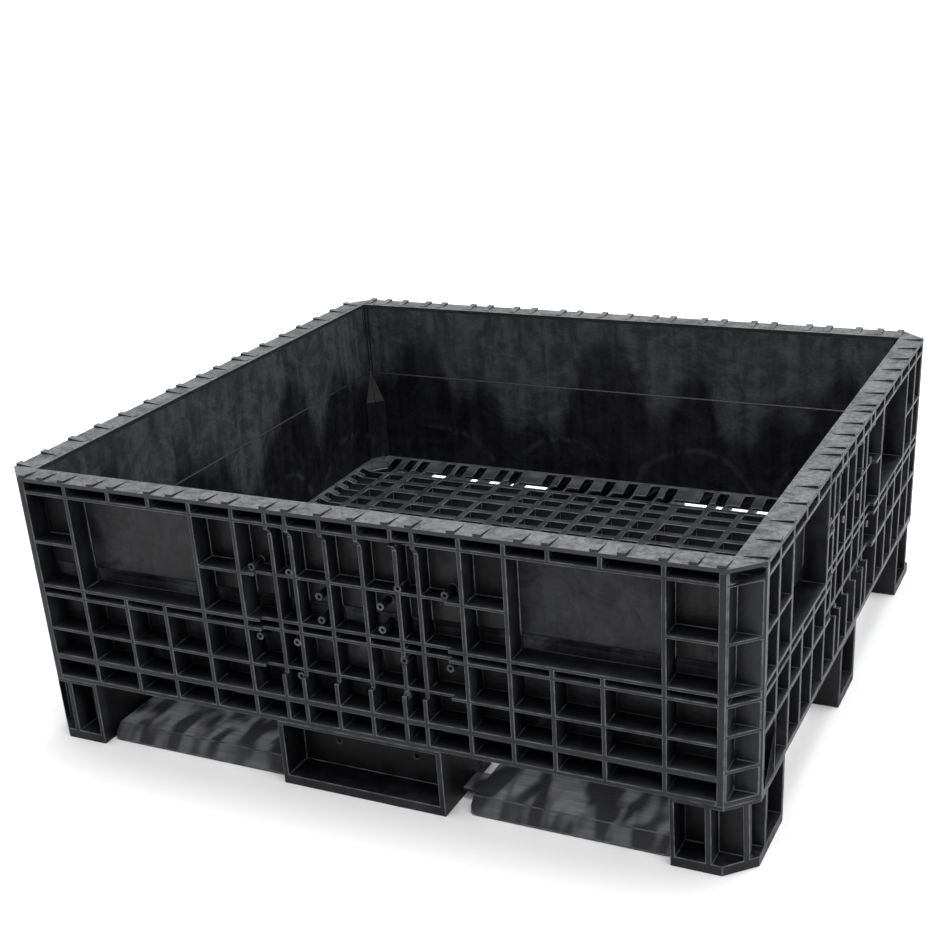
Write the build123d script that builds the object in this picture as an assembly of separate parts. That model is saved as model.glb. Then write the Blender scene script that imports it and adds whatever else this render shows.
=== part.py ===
from build123d import *
import os

os.makedirs("parts", exist_ok=True)

# A plastic pallet with low fixed walls. X runs along the long side, Y from front to rear, Z up. The
# origin is on the ground under the middle. All lengths are millimetres.

# ---- overall size ----
LENGTH = 1219.0            # X, over the rim
WIDTH = 1143.0             # Y, over the rim
HEIGHT = 461.0             # ground to the flat of the rim
DRAFT = 0.018              # share by which the outside draws in from the rim down to the ground
CORNER_CUT = 40.5          # leg of the chamfer at each outer corner
MARGIN = 30.0              # how far cutting tools reach past a face

# ---- levels, from the ground up ----
RUNNER_TOP = 22.0
DECK_BOTTOM = 88.0
WALL_BOTTOM = 110.0
FLOOR = 115.0              # top of the floor grid
LEDGE_TOP = 125.0          # where the floor's ledge meets the wall
STEP = 312.0               # small step on the inside of the walls
RIM_BOTTOM = 455.0

# ---- wall sections, measured in from the outer face at the rim ----
UPPER_WALL = 43.5
STEP_WALL = (50.0, 48.0)   # just below and just above the step
LEDGE_WALL = 56.0
INNER_CUT = 28.0           # leg of the chamfer in the lower inside corners
CUT_TOP = 250.0            # from this level up to the step the chamfer runs out
UPPER_CUT = 1.0            # the same above the step, where the corners are nearly sharp
UPPER_POCKET = 36.5        # depth of the outside pockets above the step
LOWER_POCKET = 44.0        # at the foot of the wall
STEP_POCKET = 41.0         # just below the step
POCKET_SLOPE = (296.0, 308.0)  # levels between which the pocket depth changes
POST_STRIP = 11.0          # flat strip of a corner post beside its chamfer
COLUMN = 7.0               # thickness of an upright rib

# upright ribs, measured along the wall from its middle
LONG_COLUMNS = [-480, -397, -323, -249, -174, -117, -83, -26, 32, 88, 122, 193, 260, 324, 398, 485]
SHORT_COLUMNS = [-466, -396, -328, -262, -188, -114, -82, -28, 28, 82, 114, 188, 262, 328, 396, 466]

# clear heights between the level ribs, as (bottom, top)
TOP_BAND = (440.0, RIM_BOTTOM)
UPPER_BAND = (356.0, 434.5)
MIDDLE_BAND = (281.0, 351.0)
SLOT_BAND = (265.5, 275.5)
LONG_LOW_BANDS = [(205.0, 260.0), (157.0, 200.0), (118.0, 147.5)]
SHORT_LOW_BANDS = [(209.0, 260.0), (118.0, 202.0)]
POST_BANDS = [TOP_BAND, UPPER_BAND, MIDDLE_BAND, SLOT_BAND, (220.0, 260.0), (166.0, 214.0), (118.0, 160.0)]

# label recesses, by the two columns that bound them
LONG_PANELS = [(0, 3), (12, 15)]
SHORT_PANELS = [(1, 4), (11, 14)]

# ---- corner posts ----
POST_POCKET_X = 571.0      # the two upright sides of the three-sided pockets
POST_POCKET_Y = 534.0

# ---- shallow inset in the middle of each wall, with its screw bosses ----
INSET_DEPTH = 9.0
INSET_LEVELS = (193.0, 430.0)
INSET_SLOPE = 10.0         # height of the slope at its top
LONG_INSET = (-148.0, 166.0)
SHORT_INSET = (-150.0, 150.0)
BOSS_DEPTH = 8.0           # front of the bosses, behind the wall's face
BOSS_RADIUS = 6.0
BOSS_HOLE = 2.6
BOSS_HOLE_DEPTH = 18.0
LONG_BOSSES = [(-156, 361), (-156, 247), (162, 361), (162, 247), (-91, 432), (-91, 361), (-91, 247),
               (-91, 191), (88, 432), (88, 361), (88, 247), (88, 190), (-44, 329), (-44, 291), (57, 328),
               (57, 291)]
SHORT_BOSSES = [(-140, 361), (-140, 247), (140, 361), (140, 247), (-78, 432), (-78, 361), (-78, 191),
                (78, 432), (78, 361), (78, 191), (-50, 329), (50, 329)]

# ---- rim ----
RIDGE_HEIGHTS = (4.0, 0.8)  # at the outer and at the inner end
RIDGE_WIDTH = 12.0
RIDGE_LENGTH = 33.0
RIDGE_SETBACK = 1.0
LONG_RIDGES = [27, 81, 118, 182, 222, 282, 322, 390, 428, 484, 524, 561]
SHORT_RIDGES = [28, 90, 122, 188, 260, 326, 394, 462, 520]

# ---- floor grid: bars as (distance from the middle, width), repeated on both sides ----
BARS_ALONG_Y = [(0, 13), (54, 13), (108, 13), (160, 19), (227, 13), (296, 13), (362, 13), (434, 19),
                (488, 13)]
BARS_ALONG_X = [(0, 14), (50, 14), (100, 14), (150, 20), (200, 14), (251, 14), (297, 15), (353, 21),
                (397, 16), (439, 14)]
RIB_BOTTOM = 92.0          # underside of the webs that carry the ledge

# ---- sloping ledge round the floor ----
LEDGE_X = 529.0            # inner edge of the ledge
LEDGE_Y = 470.0
LEDGE_SHEET = 5.0
NOTCH_WIDTH = 20.0
NOTCH_STOP = 7.0           # ledge left standing between a notch and the wall
WEB = 5.0                  # thickness of the web beside each notch
SKIRT = 5.0                # plate that closes the ledge along the wall
LONG_NOTCHES = [0, 48, 97, 133, 209, 241, 292, 336, 367, 429, 459, 497]
SHORT_NOTCHES = [18, 55, 92, 129, 166, 203, 240, 277, 314, 351, 388, 425]

# ---- feet ----
CORNER_FOOT_X = 484.0      # inner faces of the corner feet
CORNER_FOOT_Y = 400.0
MIDDLE_FOOT_X = 139.0      # half length of a foot in the middle of a long side
MIDDLE_FOOT_Y = 53.0       # half width of a foot in the middle of a short side
FOOT_SHELL = 7.0
FOOT_SOLE = 8.0
FOOT_POCKET_LEVELS = (16.0, 104.0)
FOOT_RIB = 9.0             # ribs between the outside pockets
HOLLOW_RIB = 6.0           # the two ribs across the hollow of a long foot
CAVITY_X = 553.0           # outer limits of the hollows inside the feet
CORNER_CAVITY_Y = 510.0
MIDDLE_CAVITY_Y = 501.0
FRONT_POCKET_Y = 517.0     # back of the first front pocket of a corner foot
CORNER_POCKET_Y = 528.0    # back of the second, which is shallower
MIDDLE_POCKET_Y = 508.0    # back of the pocket in a foot under the long side
MIDDLE_POCKET_STEP = 84.0  # above this level the pocket stops short of the floor
MIDDLE_POCKET_UPPER_Y = 522.0
SIDE_POCKET_X = 560.0      # back of the pockets in the short sides
FRONT_POCKET_END = 534.0   # the corner foot's front pockets end at these distances along X
CORNER_POCKET_END = 581.0
CHAMFER_POCKET_X = 588.0   # pocket that runs round the chamfer to the short side
CHAMFER_POCKET_LEVELS_Y = (540.0, 522.0, 497.0)
SIDE_POCKET_END = 489.0
DRAIN_RADIUS = 4.0
DRAIN_X = 67.0
DRAIN_Z = 58.0

# ---- runners ----
OUTER_RUNNER = (-543.0, -405.0)
MIDDLE_RUNNER = (-50.0, 50.0)
RUNNER_EDGE = 2.0          # upright edge below the bevel
RUNNER_CORNER = 12.0       # radius of the corners in plan
RUNNER_SKIN = 5.0
RUNNER_CELLS = 4           # hollows in the underside
RUNNER_RIB = 6.0
RUNNER_END = 12.0          # solid end beside a tab
SNUG_GAP = 3.0             # gap between a runner and a foot
LOOSE_GAP = 28.0
TAB_REACH = 22.0           # length of a tab inside the foot
TAB_WIDTH = 50.0
TAB_LEVELS = (8.2, 14.0)
TAB_PLAY = 0.5
SCREW_RADIUS = 3.0
SCREW_PLAY = 0.2
HEAD_RADIUS = 5.5
HEAD_LEVELS = (0.5, 4.0)
HEAD_PLAY = 0.5
SCREW_TOP = 18.0
SCREW_SPACING = 30.0
SCREW_INSET = 15.0         # distance of the screws from the foot's side face


def drawn_in(value, z):
    """A distance from the middle at the rim, followed down the draft to level z."""
    return value * (1 + DRAFT * (z - HEIGHT) / HEIGHT)


def block(x0, x1, y0, y1, z0, z1):
    """A box given by its limits."""
    middle = Location(((x0 + x1) / 2, (y0 + y1) / 2, (z0 + z1) / 2))
    return middle * Box(x1 - x0, y1 - y0, z1 - z0)


def post(x, y, z0, z1, radius):
    """A round upright bar."""
    return Location((x, y, (z0 + z1) / 2)) * Cylinder(radius, z1 - z0)


def cut_rectangle(half_x, half_y, cut, z):
    """A level rectangle with chamfered corners."""
    points = [(half_x - cut, -half_y), (half_x, cut - half_y), (half_x, half_y - cut), (half_x - cut, half_y)]
    points += [(-x, -y) for x, y in points]
    return Plane.XY.offset(z) * make_face(Polyline(*points, close=True))


def frustum(low, high):
    """The flat-sided solid between two level sections, each (half_x, half_y, cut, z)."""
    return loft([cut_rectangle(*low), cut_rectangle(*high)], ruled=True)


def outside(z0, z1):
    """The outer shape of the container between two levels."""
    sections = [(drawn_in(LENGTH / 2, z), drawn_in(WIDTH / 2, z), CORNER_CUT, z) for z in (z0, z1)]
    return frustum(*sections)


def inside(low, high):
    """The space between walls at two levels, each (wall thickness, corner chamfer, z)."""
    sections = [(LENGTH / 2 - wall, WIDTH / 2 - wall, cut, z) for wall, cut, z in (low, high)]
    return frustum(*sections)


def ledge_inside(z0, z1):
    """The upright-sided space within the walls at the level of the ledge."""
    return inside((LEDGE_WALL, INNER_CUT, z0), (LEDGE_WALL, INNER_CUT, z1))


def wall_ring():
    """The four walls and corner posts in one ring, before they are divided."""
    below, above = STEP_WALL
    rise = (CUT_TOP - LEDGE_TOP) / (STEP - LEDGE_TOP)
    cut_wall = LEDGE_WALL + rise * (below - LEDGE_WALL)
    ring = outside(WALL_BOTTOM, RIM_BOTTOM)
    ring -= inside((above, UPPER_CUT, STEP), (UPPER_WALL, UPPER_CUT, RIM_BOTTOM))
    ring -= inside((cut_wall, INNER_CUT, CUT_TOP), (below, UPPER_CUT, STEP))
    ring -= inside((LEDGE_WALL, INNER_CUT, LEDGE_TOP), (cut_wall, INNER_CUT, CUT_TOP))
    ring -= ledge_inside(WALL_BOTTOM, LEDGE_TOP)
    return ring


LONG_END = LENGTH / 2 - CORNER_CUT - POST_STRIP
SHORT_END = WIDTH / 2 - CORNER_CUT - POST_STRIP


def drafted_prism(points, z0, z1):
    """An upright solid over plan points at the rim, drawn in with the draft."""
    faces = []
    for z in (z0, z1):
        corners = [(drawn_in(x, z), drawn_in(y, z)) for x, y in points]
        faces.append(Plane.XY.offset(z) * make_face(Polyline(*corners, close=True)))
    return loft(faces, ruled=True)


# A wall is worked facing -Y and turned into place afterwards. "half" is the distance from the middle
# of the container to the wall's outer face at the rim, "end" is half its length, and "other_end" is
# half the length of the walls next to it.

def wall_zone(half, end, other_end):
    """The space of one wall, parted from its neighbours on the diagonals and at the corner posts."""
    reach = 100.0
    right = [(end, -half - MARGIN), (end, -other_end), (end - reach, -other_end + reach)]
    left = [(-x, y) for x, y in reversed(right)]
    return drafted_prism(right + left, 0, HEIGHT)


def face_prism(x0, x1, z0, z1, half):
    """An upright prism through the wall, whose sides follow the draft."""
    corners = [(drawn_in(x0, z0), z0), (drawn_in(x1, z0), z0), (drawn_in(x1, z1), z1), (drawn_in(x0, z1), z1)]
    return extrude(Plane.XZ * make_face(Polyline(*corners, close=True)), amount=half + MARGIN)


def outer_layer(half, reach, depths):
    """Everything outside a surface that lies a depth behind the outer face, given as (z, depth)."""
    far = -half - 2 * MARGIN
    surface = [(-drawn_in(half, z) + depth, z) for z, depth in depths]
    outline = [(far, depths[0][0])] + surface + [(far, depths[-1][0])]
    return extrude(Plane.YZ * make_face(Polyline(*outline, close=True)), amount=reach, both=True)


def pocket_spans(columns, low_bands, panels, end):
    """The clear spaces between the ribs of one wall, as (x0, x1, z0, z1)."""
    lefts = [-end - 1] + [x + COLUMN / 2 for x in columns]
    rights = [x - COLUMN / 2 for x in columns] + [end + 1]
    spans = []
    for i in range(len(lefts)):
        in_panel = any(first < i <= last for first, last in panels)
        upper_bands = [] if in_panel else [UPPER_BAND, MIDDLE_BAND]
        for z0, z1 in [TOP_BAND, SLOT_BAND] + upper_bands + low_bands:
            spans.append((lefts[i], rights[i], z0, z1))
    for first, last in panels:
        spans.append((lefts[first + 1], rights[last], MIDDLE_BAND[0], UPPER_BAND[1]))
    return spans


def wall_pockets(spans, half, end):
    """The solids to be cut from the outside of a wall."""
    depths = [(WALL_BOTTOM - MARGIN, LOWER_POCKET), (POCKET_SLOPE[0], STEP_POCKET),
              (POCKET_SLOPE[1], UPPER_POCKET), (RIM_BOTTOM + MARGIN, UPPER_POCKET)]
    layer = outer_layer(half, end + MARGIN, depths)
    return [face_prism(*span, half) & layer for span in spans]


def wall_inset(limits, half):
    """The shallow inset in the middle of a wall, which runs out to nothing at its top."""
    z0, z1 = INSET_LEVELS
    layer = outer_layer(half, half, [(z0 - MARGIN, INSET_DEPTH), (z1 - INSET_SLOPE, INSET_DEPTH), (z1, 0)])
    return face_prism(limits[0], limits[1], z0, z1, half) & layer


def bar_along_y(x, z, radius, y0, y1):
    """A round bar along Y."""
    return Location((x, (y0 + y1) / 2, z), (90, 0, 0)) * Cylinder(radius, y1 - y0)


def boss(x, z, half):
    """A round screw boss, a little proud of the inset and rooted in the wall's skin."""
    face = -drawn_in(half, z)
    root = LOWER_POCKET if z < POCKET_SLOPE[0] else UPPER_POCKET + 2
    return bar_along_y(x, z, BOSS_RADIUS, face + BOSS_DEPTH, face + root)


def boss_hole(x, z, half):
    """The pilot hole of a screw boss."""
    face = -drawn_in(half, z)
    return bar_along_y(x, z, BOSS_HOLE, face - MARGIN, face + BOSS_DEPTH + BOSS_HOLE_DEPTH)


def wall(ring, half, end, other_end, spans, inset, bosses):
    """One wall with its lattice of ribs, facing -Y."""
    body = ring & wall_zone(half, end, other_end)
    body -= wall_pockets(spans, half, end)
    body -= wall_inset(inset, half)
    body += [boss(x, z, half) for x, z in bosses]
    body -= [boss_hole(x, z, half) for x, z in bosses]
    return body


def long_wall(ring):
    spans = pocket_spans(LONG_COLUMNS, LONG_LOW_BANDS, LONG_PANELS, LONG_END)
    return wall(ring, WIDTH / 2, LONG_END, SHORT_END, spans, LONG_INSET, LONG_BOSSES)


def short_wall(ring):
    spans = pocket_spans(SHORT_COLUMNS, SHORT_LOW_BANDS, SHORT_PANELS, SHORT_END)
    turned = Rot(0, 0, -90) * ring
    return wall(turned, LENGTH / 2, SHORT_END, LONG_END, spans, SHORT_INSET, SHORT_BOSSES)


def corner_post(ring):
    """The front right corner, with a stack of three-sided pockets in its chamfer."""
    far_x = LENGTH / 2 + MARGIN
    far_y = WIDTH / 2 + MARGIN
    zone = [(LONG_END, -SHORT_END), (LONG_END, -far_y), (far_x, -far_y), (far_x, -SHORT_END)]
    body = ring & drafted_prism(zone, 0, HEIGHT)
    chamfer = (LENGTH + WIDTH) / 2 - CORNER_CUT    # x - y on the chamfer
    front = (POST_POCKET_X, POST_POCKET_X - chamfer)
    side = (chamfer - POST_POCKET_Y, -POST_POCKET_Y)
    triangle = [(POST_POCKET_X, -POST_POCKET_Y), front, (front[0] + MARGIN, front[1] - MARGIN),
                (side[0] + MARGIN, side[1] - MARGIN), side]
    body -= [drafted_prism(triangle, z0, z1) for z0, z1 in POST_BANDS]
    return body


def ridge(x, half):
    """A wedge across the rim of the wall that faces -Y, highest at its outer end."""
    y0 = -half + RIDGE_SETBACK
    y1 = y0 + RIDGE_LENGTH
    profile = [(y0, HEIGHT), (y0, HEIGHT + RIDGE_HEIGHTS[0]), (y1, HEIGHT + RIDGE_HEIGHTS[1]), (y1, HEIGHT)]
    start = Plane.YZ.offset(x - RIDGE_WIDTH / 2)
    return extrude(start * make_face(Polyline(*profile, close=True)), amount=RIDGE_WIDTH)


def top_rim():
    """The flat flange round the top."""
    rim = outside(RIM_BOTTOM, HEIGHT)
    rim -= inside((UPPER_WALL, UPPER_CUT, RIM_BOTTOM - MARGIN), (UPPER_WALL, UPPER_CUT, HEIGHT + MARGIN))
    for side in (-1, 1):
        long_ridges = [ridge(side * x, WIDTH / 2) for x in LONG_RIDGES]
        short_ridges = [Rot(0, 0, 90) * ridge(side * x, LENGTH / 2) for x in SHORT_RIDGES]
        for part in long_ridges + short_ridges:
            rim += [part, Rot(0, 0, 180) * part]
    return rim


def both_sides(bars):
    """Bars on both sides of the middle, in order, as (centre, width)."""
    return [(-x, width) for x, width in reversed(bars[1:])] + bars


def gaps(bars):
    """The clear spaces between neighbouring bars."""
    edges = [(x - width / 2, x + width / 2) for x, width in both_sides(bars)]
    return [(edges[i][1], edges[i + 1][0]) for i in range(len(edges) - 1)]


def floor_grid():
    """The open grid, as one plate with a hole for every cell."""
    half_x = BARS_ALONG_Y[-1][0] + BARS_ALONG_Y[-1][1] / 2
    half_y = BARS_ALONG_X[-1][0] + BARS_ALONG_X[-1][1] / 2
    outline = Wire.make_polygon([(-half_x, -half_y), (half_x, -half_y), (half_x, half_y), (-half_x, half_y)])
    cells = []
    for x0, x1 in gaps(BARS_ALONG_Y):
        for y0, y1 in gaps(BARS_ALONG_X):
            cells.append(Wire.make_polygon([(x0, y0), (x1, y0), (x1, y1), (x0, y1)]))
    plate = extrude(Plane.XY.offset(DECK_BOTTOM) * Face(outline, cells), amount=FLOOR - DECK_BOTTOM)
    return plate


def mirrored(distances):
    """The same distances on both sides of the middle, each place once."""
    return sorted({side * distance for side in (-1, 1) for distance in distances})


def along_ledge(u0, u1, v0, v1, z1, long_side):
    """A block on both opposite ledges: u along the ledge, v its distance from the middle."""
    if long_side:
        return [block(u0, u1, v0, v1, RIB_BOTTOM, z1), block(u0, u1, -v1, -v0, RIB_BOTTOM, z1)]
    return [block(v0, v1, u0, u1, RIB_BOTTOM, z1), block(-v1, -v0, u0, u1, RIB_BOTTOM, z1)]


def ledge_notches():
    """The notches in the ledge."""
    half = NOTCH_WIDTH / 2
    notches = []
    for u in mirrored(LONG_NOTCHES):
        stop = WIDTH / 2 - LEDGE_WALL - NOTCH_STOP
        notches += along_ledge(u - half, u + half, LEDGE_Y - 1, stop, LEDGE_TOP, True)
    for u in mirrored(SHORT_NOTCHES):
        stop = LENGTH / 2 - LEDGE_WALL - NOTCH_STOP
        notches += along_ledge(u - half, u + half, LEDGE_X - 1, stop, LEDGE_TOP, False)
    return notches


def ledge_webs():
    """A thin web beside every notch, from the outermost bar of the grid to the wall."""
    start = NOTCH_WIDTH / 2
    webs = []
    for u in mirrored(LONG_NOTCHES):
        wall_face = WIDTH / 2 - LEDGE_WALL
        webs += along_ledge(u + start, u + start + WEB, BARS_ALONG_X[-1][0], wall_face, LEDGE_TOP, True)
    for u in mirrored(SHORT_NOTCHES):
        wall_face = LENGTH / 2 - LEDGE_WALL
        webs += along_ledge(u + start, u + start + WEB, BARS_ALONG_Y[-1][0], wall_face, LEDGE_TOP, False)
    return webs


def skirt():
    """The plate under the ledge's outer edge."""
    outer = ledge_inside(RIB_BOTTOM, LEDGE_TOP)
    wall = LEDGE_WALL + SKIRT
    return outer - inside((wall, INNER_CUT, RIB_BOTTOM), (wall, INNER_CUT, LEDGE_TOP))


def ledge_space(z0, z1):
    """The space over a slope that rises from the ledge's inner edge to the wall."""
    low = (LEDGE_X, LEDGE_Y, INNER_CUT, z0)
    high = (LENGTH / 2 - LEDGE_WALL, WIDTH / 2 - LEDGE_WALL, INNER_CUT, z1)
    return frustum(low, high)


def ledge():
    """The sloping sheet between the floor and the walls, still closed on top."""
    under_top = LEDGE_TOP - LEDGE_SHEET
    sheet = ledge_space(FLOOR - LEDGE_SHEET, under_top)
    sheet += ledge_inside(under_top, LEDGE_TOP)
    sheet -= frustum((LEDGE_X, LEDGE_Y, INNER_CUT, RIB_BOTTOM), (LEDGE_X, LEDGE_Y, INNER_CUT, LEDGE_TOP))
    return sheet


def floor_deck():
    deck = floor_grid()
    deck += ledge() - ledge_notches()
    deck += ledge_webs() + [skirt()]
    deck -= ledge_space(FLOOR, LEDGE_TOP)
    return deck


def foot_blank(x0, x1, y0, y1):
    """A block under the container, cleared for the floor."""
    blank = outside(0, WALL_BOTTOM) & block(x0, x1, y0, y1, 0, WALL_BOTTOM)
    return blank - ledge_inside(DECK_BOTTOM, WALL_BOTTOM + MARGIN)


def foot_hollow(x0, x1, y0, y1):
    """The hollow inside a foot, open at the top."""
    return block(x0, x1, y0, y1, FOOT_SOLE, DECK_BOTTOM + MARGIN)


def long_hollow(half_x, y0, y1):
    """The hollow of a long foot, in three parts."""
    pitch = (2 * half_x + HOLLOW_RIB) / 3
    starts = [-half_x + i * pitch for i in range(3)]
    return [foot_hollow(x, x + pitch - HOLLOW_RIB, y0, y1) for x in starts]


def foot_pocket(x0, x1, y0, y1):
    """A pocket in a foot's outer face."""
    return block(x0, x1, y0, y1, *FOOT_POCKET_LEVELS)


def screw_places(face, inward, y):
    """The two screws of the tab that enters a foot through its side face."""
    x = face + inward * SCREW_INSET
    return [(x, y - SCREW_SPACING / 2), (x, y + SCREW_SPACING / 2)]


def tab_cuts(face, inward, y):
    """Slot and screw holes for one runner tab."""
    ends = sorted([face - inward, face + inward * (FOOT_SHELL + 1)])
    half = TAB_WIDTH / 2 + TAB_PLAY
    cuts = [block(ends[0], ends[1], y - half, y + half, FOOT_SOLE, TAB_LEVELS[1] + TAB_PLAY)]
    for x, screw_y in screw_places(face, inward, y):
        cuts.append(post(x, screw_y, -1, FOOT_SOLE + 1, SCREW_RADIUS + SCREW_PLAY))
        cuts.append(post(x, screw_y, -1, HEAD_LEVELS[1], HEAD_RADIUS + HEAD_PLAY))
    return cuts


def corner_foot():
    """The front right foot."""
    far_x = LENGTH / 2 + MARGIN
    far_y = WIDTH / 2 + MARGIN
    shell = FOOT_SHELL
    foot = foot_blank(CORNER_FOOT_X, far_x, -far_y, -CORNER_FOOT_Y)
    foot -= foot_hollow(CORNER_FOOT_X + shell, CAVITY_X, -CORNER_CAVITY_Y, -CORNER_FOOT_Y - shell)
    foot -= foot_pocket(CORNER_FOOT_X + shell, FRONT_POCKET_END, -far_y, -FRONT_POCKET_Y)
    foot -= foot_pocket(FRONT_POCKET_END + FOOT_RIB, CORNER_POCKET_END, -far_y, -CORNER_POCKET_Y)
    foot -= foot_pocket(SIDE_POCKET_X, far_x, -SIDE_POCKET_END, -CORNER_FOOT_Y - shell)
    chamfer_y, step_y, end_y = CHAMFER_POCKET_LEVELS_Y
    foot -= foot_pocket(CHAMFER_POCKET_X, far_x, -chamfer_y, -end_y)
    foot -= foot_pocket(SIDE_POCKET_X, far_x, -step_y, -end_y)
    foot -= tab_cuts(CORNER_FOOT_X, 1, sum(OUTER_RUNNER) / 2)
    return foot


def front_middle_foot():
    far_y = WIDTH / 2 + MARGIN
    hollow_x = MIDDLE_FOOT_X - FOOT_SHELL
    pocket_x = MIDDLE_FOOT_X - FOOT_RIB
    foot = foot_blank(-MIDDLE_FOOT_X, MIDDLE_FOOT_X, -far_y, -CORNER_FOOT_Y)
    foot -= long_hollow(hollow_x, -MIDDLE_CAVITY_Y, -CORNER_FOOT_Y - FOOT_SHELL)
    foot -= foot_pocket(-pocket_x, pocket_x, -far_y, -MIDDLE_POCKET_UPPER_Y)
    foot -= block(-pocket_x, pocket_x, -far_y, -MIDDLE_POCKET_Y, FOOT_POCKET_LEVELS[0], MIDDLE_POCKET_STEP)
    for side in (-1, 1):
        foot -= bar_along_y(side * DRAIN_X, DRAIN_Z, DRAIN_RADIUS, -MIDDLE_POCKET_Y - 1, -MIDDLE_CAVITY_Y + 1)
        foot -= tab_cuts(side * MIDDLE_FOOT_X, -side, sum(OUTER_RUNNER) / 2)
    return foot


def right_middle_foot():
    far_x = LENGTH / 2 + MARGIN
    hollow_y = MIDDLE_FOOT_Y - FOOT_SHELL
    pocket_y = MIDDLE_FOOT_Y - FOOT_RIB
    foot = foot_blank(CORNER_FOOT_X, far_x, -MIDDLE_FOOT_Y, MIDDLE_FOOT_Y)
    foot -= foot_hollow(CORNER_FOOT_X + FOOT_SHELL, CAVITY_X, -hollow_y, hollow_y)
    foot -= foot_pocket(SIDE_POCKET_X, far_x, -pocket_y, pocket_y)
    foot -= tab_cuts(CORNER_FOOT_X, 1, 0)
    return foot


def centre_foot():
    hollow_x = MIDDLE_FOOT_X - FOOT_SHELL
    hollow_y = MIDDLE_FOOT_Y - FOOT_SHELL
    foot = foot_blank(-MIDDLE_FOOT_X, MIDDLE_FOOT_X, -MIDDLE_FOOT_Y, MIDDLE_FOOT_Y)
    foot -= long_hollow(hollow_x, -hollow_y, hollow_y)
    for side in (-1, 1):
        foot -= tab_cuts(side * MIDDLE_FOOT_X, -side, 0)
    return foot


def runner_body(x0, x1, y0, y1):
    """The bevelled strip of a runner, with rounded corners."""
    bevel = RUNNER_TOP - RUNNER_EDGE
    profile = [(y0, 0), (y1, 0), (y1, RUNNER_EDGE), (y1 - bevel, RUNNER_TOP), (y0 + bevel, RUNNER_TOP),
               (y0, RUNNER_EDGE)]
    strip = extrude(Plane.YZ.offset(x0) * make_face(Polyline(*profile, close=True)), amount=x1 - x0)
    middle = Location(((x0 + x1) / 2, (y0 + y1) / 2, 0))
    plan = middle * RectangleRounded(x1 - x0, y1 - y0, RUNNER_CORNER)
    return strip & extrude(plan, amount=RUNNER_TOP)


def runner_hollow(x0, x1, y0, y1):
    """One hollow in the underside of a runner, one skin inside its profile."""
    bevel = RUNNER_TOP - RUNNER_EDGE
    slant = RUNNER_SKIN * 2 ** 0.5
    low = slant - RUNNER_EDGE
    high = bevel + slant - RUNNER_SKIN
    profile = [(y0 + low, 0), (y1 - low, 0), (y1 - high, RUNNER_TOP - RUNNER_SKIN),
               (y0 + high, RUNNER_TOP - RUNNER_SKIN)]
    return extrude(Plane.YZ.offset(x0) * make_face(Polyline(*profile, close=True)), amount=x1 - x0)


def runner(left_foot, right_foot, left_gap, band):
    """One runner between the side faces of two feet."""
    y0, y1 = band
    middle = (y0 + y1) / 2
    x0 = left_foot + left_gap
    x1 = right_foot - SNUG_GAP
    body = runner_body(x0, x1, y0, y1)
    pitch = (x1 - x0 - 2 * RUNNER_END + RUNNER_RIB) / RUNNER_CELLS
    for i in range(RUNNER_CELLS):
        start = x0 + RUNNER_END + i * pitch
        body -= runner_hollow(start, start + pitch - RUNNER_RIB, y0, y1)
    body += block(x0 + 1, x1 - 1, middle - RUNNER_RIB / 2, middle + RUNNER_RIB / 2, 0, RUNNER_TOP - 1)
    half = TAB_WIDTH / 2
    body += block(left_foot - TAB_REACH, x0 + 1, middle - half, middle + half, *TAB_LEVELS)
    body += block(x1 - 1, right_foot + TAB_REACH, middle - half, middle + half, *TAB_LEVELS)
    for x, y in screw_places(left_foot, -1, middle) + screw_places(right_foot, 1, middle):
        body -= post(x, y, 0, RUNNER_TOP, SCREW_RADIUS + SCREW_PLAY)
    return body


def screw(x, y):
    """A screw put in from below."""
    head = post(x, y, *HEAD_LEVELS, HEAD_RADIUS)
    return head + post(x, y, HEAD_LEVELS[1] - 1, SCREW_TOP, SCREW_RADIUS)


def runner_screws():
    """All the runner screws, as separate solids in one group."""
    screws = []
    for y in (sum(OUTER_RUNNER) / 2, sum(MIDDLE_RUNNER) / 2, -sum(OUTER_RUNNER) / 2):
        for side in (-1, 1):
            for face, inward in ((side * MIDDLE_FOOT_X, -side), (side * CORNER_FOOT_X, side)):
                screws += [screw(*place) for place in screw_places(face, inward, y)]
    return Compound(children=screws)


def four_corners(part, name):
    """A piece from the front right corner, mirrored to all four corners."""
    rear = mirror(part, about=Plane.XZ)
    return {
        name + "_front_right": part,
        name + "_rear_right": rear,
        name + "_front_left": mirror(part, about=Plane.YZ),
        name + "_rear_left": mirror(rear, about=Plane.YZ),
    }


def build_walls():
    ring = wall_ring()
    front = long_wall(ring)
    side = short_wall(ring)
    walls = {
        "wall_front": front,
        "wall_rear": Rot(0, 0, 180) * front,
        "wall_right": Rot(0, 0, 90) * side,
        "wall_left": Rot(0, 0, -90) * side,
    }
    walls.update(four_corners(corner_post(ring), "corner_post"))
    return walls


def build_feet():
    front = front_middle_foot()
    right = right_middle_foot()
    feet = {
        "foot_front_middle": front,
        "foot_rear_middle": mirror(front, about=Plane.XZ),
        "foot_right_middle": right,
        "foot_left_middle": mirror(right, about=Plane.YZ),
        "foot_centre": centre_foot(),
    }
    feet.update(four_corners(corner_foot(), "foot"))
    return feet


def build_runners():
    rear_runner = tuple(-y for y in reversed(OUTER_RUNNER))
    runners = {}
    for name, band in (("front", OUTER_RUNNER), ("middle", MIDDLE_RUNNER), ("rear", rear_runner)):
        runners["runner_" + name + "_left"] = runner(-CORNER_FOOT_X, -MIDDLE_FOOT_X, SNUG_GAP, band)
        runners["runner_" + name + "_right"] = runner(MIDDLE_FOOT_X, CORNER_FOOT_X, LOOSE_GAP, band)
    return runners


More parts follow.
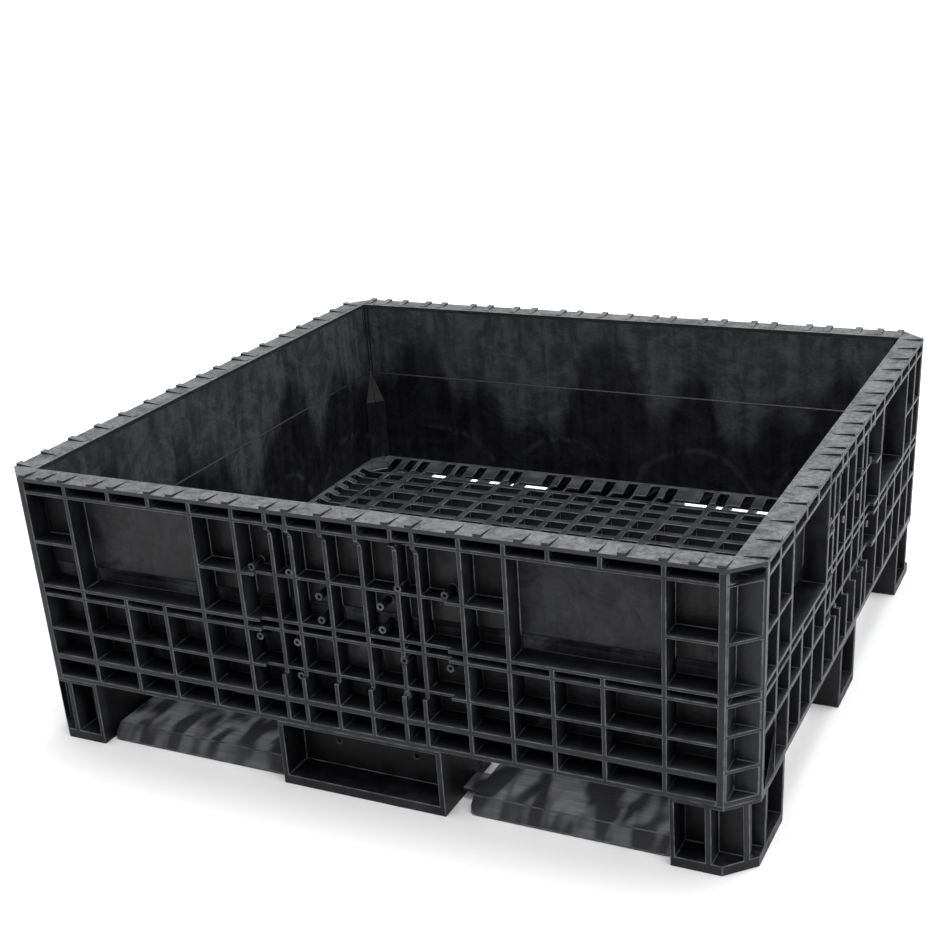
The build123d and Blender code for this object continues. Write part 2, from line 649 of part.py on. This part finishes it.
pieces = {"floor_deck": floor_deck(), "top_rim": top_rim(), "runner_screws": runner_screws()}
pieces.update(build_walls())
pieces.update(build_feet())
pieces.update(build_runners())

for name, piece in pieces.items():
    export_step(piece, "parts/" + name + ".step")
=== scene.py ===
import math

import bpy
from mathutils import Matrix, Vector


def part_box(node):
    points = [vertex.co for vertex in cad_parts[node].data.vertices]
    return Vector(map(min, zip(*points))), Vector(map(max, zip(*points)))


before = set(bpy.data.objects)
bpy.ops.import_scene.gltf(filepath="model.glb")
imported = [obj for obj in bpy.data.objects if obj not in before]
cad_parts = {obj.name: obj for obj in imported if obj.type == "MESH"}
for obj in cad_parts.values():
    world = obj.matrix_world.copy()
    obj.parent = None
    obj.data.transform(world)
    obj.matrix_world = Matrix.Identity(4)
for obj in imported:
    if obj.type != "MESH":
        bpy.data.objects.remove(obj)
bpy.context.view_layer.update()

# ---- camera ----
CAMERA_PLACE = (1.0814, -2.2816, 1.2577)
CAMERA_HEADING = 26.57     # degrees, turned left from looking straight at the front
CAMERA_DOWN = 20.3
CAMERA_ROLL = -3.51
LENS_MM = 58.64
SENSOR_MM = 36.0

# ---- edges ----
EDGE_RADIUS = 0.0013
EDGE_SEGMENTS = 3
SCREW_EDGE = 0.0003
MERGE_DISTANCE = 0.00002

# ---- the container's shape, from its CAD pieces ----
HALF_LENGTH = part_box("top_rim")[1].x
HALF_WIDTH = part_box("top_rim")[1].y
WALL_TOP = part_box("wall_front")[1].z
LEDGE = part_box("floor_deck")[1].z
DRAFT = 0.018              # share by which the outside draws in from the rim to the ground
CORNER_CUT = 0.0405        # leg of the chamfer at the outer corners
SKIN_LIMIT = 0.041         # everything further in than this belongs to the inner faces of the walls
POCKET_DEPTH = 0.034
STEP_HEIGHT = 0.312        # small step on the inside of the walls
LABEL_LEVELS = (0.281, 0.4345)
LONG_LABEL = (0.256, 0.481)    # label recesses, as distances from the middle of a wall
SHORT_LABEL = (0.189, 0.393)

# ---- flow marks on the inner faces ----
ARC_SPACING = 0.28
ARC_RADIUS = 0.13
ARC_WIDTH = 0.009
ARC_SHIFT = 0.57           # brings the arcs into place along the walls
ARC_CENTRE = 0.075         # height of their centres
TONGUE_REACH = 0.2         # how far the longest pale tongues hang down from the rim

# ---- studio ----
SKY_HORIZON = 0.3
SKY_OVERHEAD = 1.45
FLOOR_SIZE = 60.0
FLOOR_DROP = 0.0002        # keeps the floor just clear of the soles

# ---- colours of the plastic, linear ----
BLACK = (0.0022, 0.0023, 0.0031, 1.0)
PIT = (0.0048, 0.005, 0.0064, 1.0)
FACE = (0.0088, 0.0093, 0.0116, 1.0)
CLOUD = (0.0225, 0.0234, 0.0275, 1.0)
# painted light: the paler grey painted on upward faces and on the floor ledge, and the dark end of the rim's
# painted edge highlight
PAINTED_LIGHT_GREY = (0.05, 0.0515, 0.058, 1.0)
# painted highlight on the rounded edges
EDGE_HIGHLIGHT = (0.085, 0.0875, 0.098, 1.0)
INNER_MID = (0.0165, 0.0171, 0.0202, 1.0)
INNER_PALE = (0.062, 0.0635, 0.07, 1.0)
RIM_DARK = (0.022, 0.0227, 0.0257, 1.0)
RIM_PALE = (0.118, 0.121, 0.131, 1.0)
# painted light falling through the floor grid onto the runners
PAINTED_GRID_LIGHT = (0.15, 0.153, 0.163, 1.0)
FLOOR_WHITE = (0.96, 0.96, 0.96, 1.0)
STEEL_DULL = (0.2, 0.2, 0.19, 1.0)
STEEL_BRIGHT = (0.45, 0.45, 0.46, 1.0)


class Nodes:
    """Short ways to add and join shader nodes in one material."""

    def __init__(self, name):
        self.material = bpy.data.materials.new(name)
        self.material.use_nodes = True
        self.tree = self.material.node_tree
        self.tree.nodes.clear()
        self.output = self.add("ShaderNodeOutputMaterial")
        self.shader = self.add("ShaderNodeBsdfPrincipled")
        self.join(self.shader.outputs["BSDF"], self.output.inputs["Surface"])
        self.place = self.add("ShaderNodeTexCoord").outputs["Object"]
        self.x, self.y, self.z = self.axes(self.place)
        self.far_x = self.math("ABSOLUTE", self.x)
        self.far_y = self.math("ABSOLUTE", self.y)

    def add(self, kind, **settings):
        node = self.tree.nodes.new(kind)
        for key, value in settings.items():
            setattr(node, key, value)
        return node

    def join(self, source, target):
        if isinstance(source, (int, float, tuple)):
            target.default_value = source
        else:
            self.tree.links.new(source, target)

    def math(self, operation, a, b=0.0, c=0.0):
        node = self.add("ShaderNodeMath", operation=operation)
        for value, socket in zip((a, b, c), node.inputs):
            self.join(value, socket)
        return node.outputs[0]

    def times(self, *values):
        result = values[0]
        for value in values[1:]:
            result = self.math("MULTIPLY", result, value)
        return result

    def plus(self, a, b):
        return self.math("ADD", a, b)

    def minus(self, a, b):
        return self.math("SUBTRACT", a, b)

    def ramp(self, value, low, high, out_low=0.0, out_high=1.0):
        """A smooth step of a value between two limits."""
        node = self.add("ShaderNodeMapRange", interpolation_type="SMOOTHSTEP")
        for item, socket in zip((value, low, high, out_low, out_high), node.inputs):
            self.join(item, socket)
        return node.outputs[0]

    def between(self, value, low, high, soft):
        """1 between two limits, with soft ends."""
        rise = self.ramp(value, low - soft, low + soft)
        fall = self.ramp(value, high - soft, high + soft, 1.0, 0.0)
        return self.times(rise, fall)

    def axes(self, vector):
        node = self.add("ShaderNodeSeparateXYZ")
        self.join(vector, node.inputs[0])
        return node.outputs

    def vector(self, x, y, z):
        node = self.add("ShaderNodeCombineXYZ")
        for value, socket in zip((x, y, z), node.inputs):
            self.join(value, socket)
        return node.outputs[0]

    def scaled(self, vector, scale, turn=0.0):
        node = self.add("ShaderNodeMapping")
        self.join(vector, node.inputs["Vector"])
        node.inputs["Rotation"].default_value = (0.0, 0.0, math.radians(turn))
        node.inputs["Scale"].default_value = scale
        return node.outputs[0]

    def noise(self, vector, scale, detail=4.0, roughness=0.55, distortion=0.0):
        node = self.add("ShaderNodeTexNoise")
        self.join(vector, node.inputs["Vector"])
        node.inputs["Scale"].default_value = scale
        node.inputs["Detail"].default_value = detail
        node.inputs["Roughness"].default_value = roughness
        node.inputs["Distortion"].default_value = distortion
        return node.outputs["Fac"]

    def mix(self, factor, a, b):
        node = self.add("ShaderNodeMix", data_type="RGBA")
        for value, socket in zip((factor, a, b), (node.inputs[0], node.inputs[6], node.inputs[7])):
            self.join(value, socket)
        return node.outputs[2]

    def bump(self, height, strength, distance):
        node = self.add("ShaderNodeBump")
        self.join(height, node.inputs["Height"])
        node.inputs["Strength"].default_value = strength
        node.inputs["Distance"].default_value = distance
        return node.outputs[0]

    def facing(self):
        """The three parts of the surface direction."""
        return self.axes(self.add("ShaderNodeNewGeometry").outputs["Normal"])


def clouds(nodes, scale=9.0):
    """Recycled polyethylene: soft clouds crossed by fine upright streaks, 0 to 1."""
    soft = nodes.noise(nodes.place, scale, detail=6.0, roughness=0.62, distortion=0.9)
    streaks = nodes.noise(nodes.scaled(nodes.place, (65.0, 65.0, 8.0)), 1.0, detail=3.0)
    return nodes.ramp(nodes.plus(nodes.times(soft, 0.75), nodes.times(streaks, 0.3)), 0.42, 0.72)


def on_long_wall(nodes):
    """1 on the front and rear walls, 0 on the side walls."""
    across = nodes.math("DIVIDE", nodes.far_y, HALF_WIDTH)
    along = nodes.math("DIVIDE", nodes.far_x, HALF_LENGTH)
    return nodes.math("GREATER_THAN", across, along)


def choose(nodes, switch, off, on):
    """One of two values."""
    return nodes.plus(nodes.times(switch, on), nodes.times(nodes.minus(1.0, switch), off))


def depth_behind_face(nodes):
    """How far a point lies behind the outer faces and corner chamfers, which draw in downwards."""
    size = nodes.plus(1.0 - DRAFT, nodes.times(nodes.z, DRAFT / WALL_TOP))
    from_side = nodes.minus(nodes.times(size, HALF_LENGTH), nodes.far_x)
    from_front = nodes.minus(nodes.times(size, HALF_WIDTH), nodes.far_y)
    reach = nodes.minus(nodes.times(size, HALF_LENGTH + HALF_WIDTH), CORNER_CUT)
    from_chamfer = nodes.times(nodes.minus(reach, nodes.plus(nodes.far_x, nodes.far_y)), math.sqrt(0.5))
    return nodes.math("MINIMUM", nodes.math("MINIMUM", from_side, from_front), from_chamfer)


def label_panel(nodes, depth):
    """1 on the back plates of the label recesses."""
    long_wall = on_long_wall(nodes)
    place = choose(nodes, long_wall, nodes.far_y, nodes.far_x)
    low = choose(nodes, long_wall, SHORT_LABEL[0], LONG_LABEL[0])
    high = choose(nodes, long_wall, SHORT_LABEL[1], LONG_LABEL[1])
    across = nodes.times(nodes.math("GREATER_THAN", place, low), nodes.math("LESS_THAN", place, high))
    return nodes.times(across, nodes.between(nodes.z, *LABEL_LEVELS, 0.004), nodes.ramp(depth, 0.03, 0.034))


def outside_colour(nodes, cloud):
    """The ribbed outside: paler rib fronts, pockets painted darker with depth as painted shade, cloudy label
    recesses, and painted light on upward faces near the front.
    """
    depth = depth_behind_face(nodes)
    front = nodes.mix(cloud, FACE, CLOUD)
    # painted shade: the pockets are painted darker the deeper they lie behind the outer face
    painted_pocket_shade = nodes.mix(cloud, BLACK, PIT)
    colour = nodes.mix(nodes.ramp(depth, 0.003, POCKET_DEPTH), front, painted_pocket_shade)
    swirl = nodes.noise(nodes.place, 17.0, detail=7.0, roughness=0.7, distortion=1.6)
    label = nodes.mix(nodes.ramp(swirl, 0.36, 0.68), PIT, CLOUD)
    colour = nodes.mix(nodes.times(label_panel(nodes, depth), 0.7), colour, label)
    # painted light: upward faces close to the outer face are painted paler, where the light falls on them
    upward = nodes.ramp(nodes.facing()[2], 0.5, 0.95)
    shelf_light = nodes.times(upward, nodes.ramp(depth, 0.0, 0.012, 0.6, 0.0))
    return nodes.mix(shelf_light, colour, PAINTED_LIGHT_GREY)


def flow_patches(nodes, along):
    """Pale tongues of plastic that hang from the rim down the inner faces."""
    below_rim = nodes.minus(WALL_TOP, nodes.z)
    broad = nodes.noise(nodes.vector(along, 0.0, 0.0), 4.6, detail=1.0)
    ragged = nodes.noise(nodes.vector(along, nodes.z, 0.0), 17.0, detail=5.0, distortion=1.4)
    length = nodes.plus(nodes.ramp(broad, 0.36, 0.62, 0.01, TONGUE_REACH), nodes.times(ragged, 0.09))
    return nodes.ramp(nodes.minus(length, below_rim), -0.03, 0.06)


def flow_arcs(nodes, along):
    """Faint arcs low on the inner faces, where streams of plastic met in the mould."""
    half = ARC_SPACING / 2
    place = nodes.minus(nodes.math("PINGPONG", nodes.plus(along, ARC_SHIFT), half), half)
    rise = nodes.minus(nodes.z, ARC_CENTRE)
    squares = nodes.plus(nodes.times(place, place), nodes.times(rise, rise))
    wobble = nodes.noise(nodes.place, 14.0, detail=3.0)
    distance = nodes.plus(nodes.math("SQRT", squares), nodes.times(wobble, 0.03))
    inner = ARC_RADIUS + 0.01
    return nodes.between(distance, inner, inner + ARC_WIDTH, 0.006)


def inside_colour(nodes):
    """The inner faces of the walls: dark, with pale flows, streaks and arcs, painted shade below the step,
    and upward faces painted black as painted shade.
    """
    along = nodes.plus(nodes.x, nodes.y)
    sheet = nodes.vector(along, 0.0, nodes.z)
    streaks = nodes.noise(nodes.scaled(sheet, (42.0, 1.0, 4.0)), 1.0, detail=5.0, distortion=0.6)
    swirl = nodes.noise(sheet, 11.0, detail=7.0, roughness=0.64, distortion=2.6)
    texture = nodes.ramp(nodes.plus(nodes.times(streaks, 0.45), nodes.times(swirl, 0.6)), 0.38, 0.7)
    # painted shade: below the step the inner faces are painted darker
    low = nodes.mix(nodes.times(texture, 0.6), BLACK, INNER_MID)
    high = nodes.mix(texture, PIT, INNER_MID)
    above_step = nodes.ramp(nodes.z, STEP_HEIGHT - 0.012, STEP_HEIGHT + 0.01)
    colour = nodes.mix(above_step, low, high)
    ripple = nodes.noise(nodes.scaled(sheet, (30.0, 1.0, 75.0)), 1.0, detail=4.0, distortion=3.0)
    strength = nodes.times(nodes.ramp(texture, 0.0, 1.0, 0.35, 0.9), nodes.ramp(ripple, 0.3, 0.65, 0.7, 1.0))
    colour = nodes.mix(nodes.times(flow_patches(nodes, along), strength), colour, INNER_PALE)
    arcs = nodes.times(flow_arcs(nodes, along), nodes.ramp(swirl, 0.4, 0.65, 0.0, 0.35))
    colour = nodes.mix(arcs, colour, INNER_PALE)
    # painted shade: upward faces inside the walls, such as the step, are painted black
    painted_shelf_shade = nodes.ramp(nodes.facing()[2], 0.1, 0.3)
    return nodes.mix(painted_shelf_shade, colour, BLACK), nodes.plus(ripple, swirl)


def finish(nodes, colour, rough_from, bump_from, rough=(0.45, 0.65), bump=0.25, gloss=0.3):
    """Joins colour, roughness and fine relief to the shader."""
    nodes.join(colour, nodes.shader.inputs["Base Color"])
    nodes.join(nodes.ramp(rough_from, 0.3, 0.7, *rough), nodes.shader.inputs["Roughness"])
    nodes.shader.inputs["Specular IOR Level"].default_value = gloss
    nodes.join(nodes.bump(bump_from, bump, 0.001), nodes.shader.inputs["Normal"])
    return nodes.material


def within_walls(nodes):
    """1 on the inner faces of the walls and on everything between them."""
    within_x = nodes.math("LESS_THAN", nodes.far_x, HALF_LENGTH - SKIN_LIMIT)
    within_y = nodes.math("LESS_THAN", nodes.far_y, HALF_WIDTH - SKIN_LIMIT)
    return nodes.times(within_x, within_y)


def wall_plastic():
    """Walls and corner posts, with different faces outside and inside."""
    nodes = Nodes("wall_plastic")
    cloud = clouds(nodes)
    inner, swirl = inside_colour(nodes)
    colour = nodes.mix(within_walls(nodes), outside_colour(nodes, cloud), inner)
    grain = nodes.plus(nodes.noise(nodes.place, 120.0, detail=5.0), swirl)
    return finish(nodes, colour, cloud, grain, rough=(0.4, 0.62), bump=0.4, gloss=0.2)


def foot_plastic():
    """The feet: pockets painted nearly black with depth as painted shade, a little paler on the ribs."""
    nodes = Nodes("foot_plastic")
    cloud = clouds(nodes, 14.0)
    depth = depth_behind_face(nodes)
    front = nodes.mix(cloud, PIT, CLOUD)
    # painted shade: the pockets are painted darker the deeper they lie behind the outer face
    colour = nodes.mix(nodes.ramp(depth, 0.003, POCKET_DEPTH), front, nodes.mix(cloud, BLACK, PIT))
    grain = nodes.noise(nodes.place, 90.0, detail=5.0)
    return finish(nodes, colour, cloud, grain, bump=0.4, gloss=0.2)


def rim_plastic():
    """The rim: paler and mottled from handling."""
    nodes = Nodes("rim_plastic")
    patch = nodes.noise(nodes.place, 22.0, detail=7.0, roughness=0.7, distortion=1.2)
    fine = nodes.noise(nodes.place, 130.0, detail=5.0, roughness=0.65)
    blend = nodes.plus(nodes.times(patch, 0.6), nodes.times(fine, 0.4))
    upward = nodes.ramp(nodes.facing()[2], 0.3, 0.9)
    top = nodes.mix(nodes.ramp(blend, 0.36, 0.64), RIM_DARK, RIM_PALE)
    colour = nodes.mix(upward, nodes.mix(patch, FACE, CLOUD), top)
    return finish(nodes, colour, patch, fine, rough=(0.42, 0.6), bump=0.5, gloss=0.3)


def floor_plastic():
    """The floor grid and its ledge: mottled on top, painted shade on the sides and in the openings, and
    painted light on the ledge.
    """
    nodes = Nodes("floor_plastic")
    patch = nodes.noise(nodes.place, 24.0, detail=6.0, roughness=0.62, distortion=0.8)
    upward = nodes.ramp(nodes.facing()[2], 0.5, 0.95)
    on_ledge = nodes.ramp(nodes.z, LEDGE - 0.009, LEDGE - 0.004)
    top = nodes.mix(nodes.ramp(patch, 0.36, 0.64), FACE, CLOUD)
    # painted light: the ledge along the walls is painted a paler grey
    ledge = nodes.mix(nodes.ramp(patch, 0.36, 0.64), CLOUD, PAINTED_LIGHT_GREY)
    # painted shade: faces of the grid that do not face up are painted near black
    colour = nodes.mix(upward, PIT, nodes.mix(on_ledge, top, ledge))
    return finish(nodes, colour, patch, patch, gloss=0.28)


def runner_plastic():
    """The runners: slanting dapples of painted light and painted shadow on top, where light falls through
    the floor grid.
    """
    nodes = Nodes("runner_plastic")
    # painted light and shadow: slanting patches where light falls through the floor grid onto the tops
    slanted = nodes.scaled(nodes.place, (30.0, 11.0, 1.0), turn=38.0)
    grid_light_patches = nodes.noise(slanted, 1.0, detail=1.0, distortion=0.3)
    scratches = nodes.noise(nodes.scaled(nodes.place, (14.0, 140.0, 140.0)), 1.0, detail=5.0)
    upward = nodes.ramp(nodes.facing()[2], 0.4, 0.95)
    pale = nodes.times(nodes.ramp(grid_light_patches, 0.4, 0.62), nodes.ramp(scratches, 0.25, 0.7, 0.5, 1.0))
    colour = nodes.mix(upward, nodes.mix(scratches, PIT, CLOUD), nodes.mix(pale, FACE, PAINTED_GRID_LIGHT))
    return finish(nodes, colour, scratches, scratches, gloss=0.3)


def edge_highlight_plastic(name, dark, pale):
    """The rounded edges of a piece, painted paler as a painted highlight; inside the container they are
    painted dark instead, as painted shade.
    """
    nodes = Nodes(name)
    patch = nodes.noise(nodes.place, 48.0, detail=4.0)
    # painted highlight: the rounded edges are painted paler
    colour = nodes.mix(nodes.ramp(patch, 0.35, 0.65), dark, pale)
    below_rim = nodes.math("LESS_THAN", nodes.z, WALL_TOP)
    above_ledge = nodes.math("GREATER_THAN", nodes.z, LEDGE)
    # painted shade: inside the container the edges are painted dark
    colour = nodes.mix(nodes.times(within_walls(nodes), below_rim, above_ledge), colour, PIT)
    return finish(nodes, colour, patch, patch, rough=(0.34, 0.5), bump=0.15, gloss=0.4)


def screw_steel():
    """Dull zinc-plated steel."""
    nodes = Nodes("screw_steel")
    stain = nodes.noise(nodes.place, 300.0, detail=4.0)
    colour = nodes.mix(nodes.ramp(stain, 0.35, 0.65), STEEL_DULL, STEEL_BRIGHT)
    nodes.shader.inputs["Metallic"].default_value = 1.0
    return finish(nodes, colour, stain, stain, rough=(0.3, 0.5), bump=0.1)


def build_camera():
    data = bpy.data.cameras.new("camera")
    data.lens = LENS_MM
    data.sensor_width = SENSOR_MM
    camera = bpy.data.objects.new("camera", data)
    bpy.context.scene.collection.objects.link(camera)
    heading = Matrix.Rotation(math.radians(CAMERA_HEADING), 4, "Z")
    tilt = Matrix.Rotation(math.radians(90.0 - CAMERA_DOWN), 4, "X")
    roll = Matrix.Rotation(math.radians(CAMERA_ROLL), 4, "Z")
    camera.matrix_world = Matrix.Translation(CAMERA_PLACE) @ heading @ tilt @ roll
    bpy.context.scene.camera = camera


def area_light(name, place, target, size, power):
    data = bpy.data.lights.new(name, "AREA")
    data.shape = "RECTANGLE"
    data.size, data.size_y = size
    data.energy = power
    light = bpy.data.objects.new(name, data)
    light.location = place
    light.rotation_euler = (Vector(target) - Vector(place)).to_track_quat("-Z", "Y").to_euler()
    bpy.context.scene.collection.objects.link(light)


def build_sky():
    """A studio surround that is bright overhead and dimmer towards the horizon."""
    world = bpy.data.worlds.new("studio")
    world.use_nodes = True
    tree = world.node_tree
    direction = tree.nodes.new("ShaderNodeTexCoord").outputs["Generated"]
    split = tree.nodes.new("ShaderNodeSeparateXYZ")
    rise = tree.nodes.new("ShaderNodeMapRange")
    rise.inputs["From Min"].default_value = 0.0
    rise.inputs["From Max"].default_value = 0.8
    rise.inputs["To Min"].default_value = SKY_HORIZON
    rise.inputs["To Max"].default_value = SKY_OVERHEAD
    tree.links.new(direction, split.inputs[0])
    tree.links.new(split.outputs[2], rise.inputs["Value"])
    tree.links.new(rise.outputs[0], tree.nodes["Background"].inputs["Strength"])
    tree.nodes["Background"].inputs["Color"].default_value = (1.0, 1.0, 1.0, 1.0)
    bpy.context.scene.world = world
    bpy.context.scene.view_settings.view_transform = "Standard"


def build_lights():
    """A broad overhead light and a softer one from the right front."""
    area_light("overhead", (0.2, 0.5, 3.2), (0.0, 0.0, 0.3), (2.4, 2.0), 110.0)
    area_light("right_front", (3.2, -2.2, 2.4), (0.2, -0.2, 0.2), (1.6, 1.2), 25.0)


def build_floor():
    """A plain white floor."""
    bpy.ops.mesh.primitive_plane_add(size=FLOOR_SIZE, location=(0.0, 0.0, -FLOOR_DROP))
    floor = bpy.context.active_object
    floor.name = "floor"
    nodes = Nodes("floor_white")
    nodes.shader.inputs["Base Color"].default_value = FLOOR_WHITE
    nodes.shader.inputs["Roughness"].default_value = 0.9
    floor.data.materials.append(nodes.material)


def soften(name, radius, surface, edge, clamp=False):
    """Rounds the edges of a CAD piece and gives it a surface and an edge material.

    Clamping keeps the rounding of a piece within its smallest step.
    """
    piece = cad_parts[name]
    piece.data.materials.clear()
    piece.data.materials.append(surface)
    piece.data.materials.append(edge)
    weld = piece.modifiers.new("weld", "WELD")
    weld.merge_threshold = MERGE_DISTANCE
    flat = piece.modifiers.new("flat_faces", "DECIMATE")
    flat.decimate_type = "DISSOLVE"
    flat.angle_limit = math.radians(0.5)
    bevel = piece.modifiers.new("edges", "BEVEL")
    bevel.width = radius
    bevel.segments = EDGE_SEGMENTS
    bevel.limit_method = "ANGLE"
    bevel.angle_limit = math.radians(30.0)
    bevel.material = 1
    bevel.harden_normals = True
    bevel.use_clamp_overlap = clamp


build_camera()
build_sky()
build_lights()
build_floor()

dark_edge_highlight = edge_highlight_plastic("dark_edge_highlight", CLOUD, EDGE_HIGHLIGHT)
pale_edge_highlight = edge_highlight_plastic("pale_edge_highlight", PAINTED_LIGHT_GREY, EDGE_HIGHLIGHT)
wall_surface = wall_plastic()
foot_surface = foot_plastic()
runner_surface = runner_plastic()
steel = screw_steel()

soften("top_rim", EDGE_RADIUS, rim_plastic(), pale_edge_highlight, clamp=True)
soften("floor_deck", EDGE_RADIUS, floor_plastic(), dark_edge_highlight)
soften("runner_screws", SCREW_EDGE, steel, steel, clamp=True)
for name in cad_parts:
    if name.startswith(("wall_", "corner_post_")):
        soften(name, EDGE_RADIUS, wall_surface, dark_edge_highlight)
    if name.startswith("foot_"):
        soften(name, EDGE_RADIUS, foot_surface, dark_edge_highlight)
    if name.startswith("runner_") and name != "runner_screws":
        soften(name, EDGE_RADIUS, runner_surface, dark_edge_highlight)
